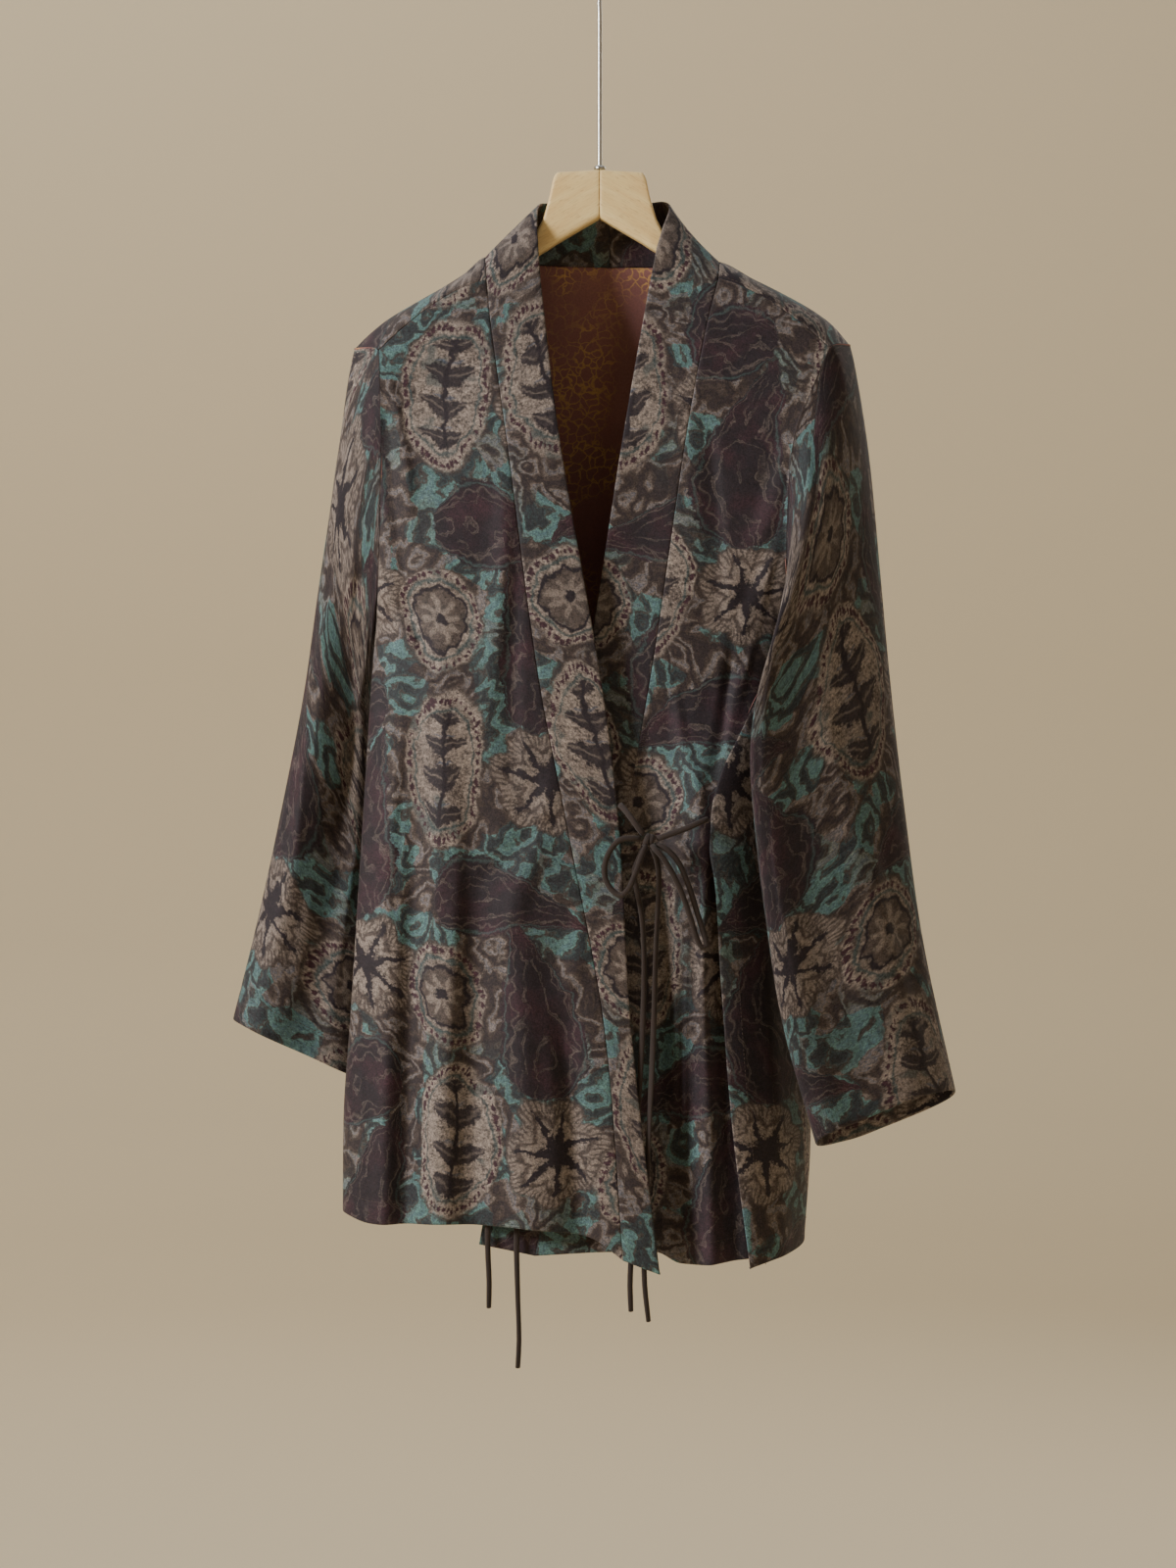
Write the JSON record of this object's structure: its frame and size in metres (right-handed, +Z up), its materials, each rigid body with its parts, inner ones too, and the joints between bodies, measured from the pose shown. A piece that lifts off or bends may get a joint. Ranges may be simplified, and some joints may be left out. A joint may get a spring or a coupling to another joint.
{
  "type": "silk wrap jacket on a wooden hanger",
  "caption": "Printed silk wrap jacket with a collar band, wide sleeves and tied fronts, hanging on a plain wooden hanger with a steel rod and hook.",
  "frame": {"origin": "inside top of the hanger's hook, where the rail carries it", "axes": "+Z up, the front of the jacket faces -Y, +X to the viewer's right"},
  "size_m": [0.578, 0.172, 1.1347],
  "materials": {
    "silk": "matt printed silk, taupe, plum brown and teal, reddish brown inside",
    "tie_cloth": "matt dark brown cloth",
    "wood": "pale satin wood",
    "steel": "satin steel"
  },
  "bodies": {
    "root": {"front_left": "silk", "front_right": "silk", "back": "silk", "sleeve_left": "silk", "sleeve_right": "silk", "collar_band_left": "silk", "collar_band_right": "silk", "bow_knot": "tie_cloth", "tie_left": "tie_cloth", "tie_right": "tie_cloth", "bow_loop_left": "tie_cloth", "bow_loop_right": "tie_cloth", "bow_tail_left": "tie_cloth", "bow_tail_right": "tie_cloth", "inner_tie_left": "tie_cloth", "inner_tie_right": "tie_cloth", "hanger_left": "wood", "hanger_right": "wood", "hanger_ferrule": "steel", "hanger_rod": "steel"}
  },
  "joints": []
}
